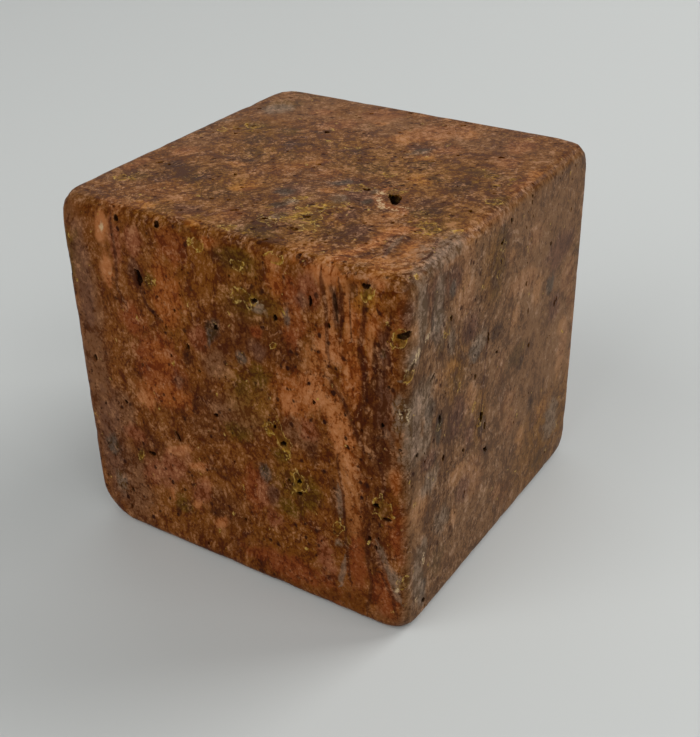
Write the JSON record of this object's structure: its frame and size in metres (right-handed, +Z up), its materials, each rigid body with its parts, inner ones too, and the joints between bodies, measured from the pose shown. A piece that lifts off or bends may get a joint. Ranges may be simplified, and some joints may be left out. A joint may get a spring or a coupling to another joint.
{
  "type": "marble cube",
  "caption": "Palm-sized cube of honed red-brown stone with eased edges, tumbled corners and open pits, to stand on a desk as a weight or to be handled as a sample.",
  "frame": {"origin": "middle of the flat base, on the surface that the cube stands on", "axes": "+Z up; the front face looks along -Y and the right-hand face along +X; the width, along X, is the longest side by 1 mm"},
  "size_m": [0.051, 0.05, 0.05],
  "materials": {
    "honed_stone": "honed to a satin sheen, banded red-brown, orange and ochre with grey-violet veins and open pits"
  },
  "bodies": {
    "root": {"marble_cube": "honed_stone"}
  },
  "joints": []
}
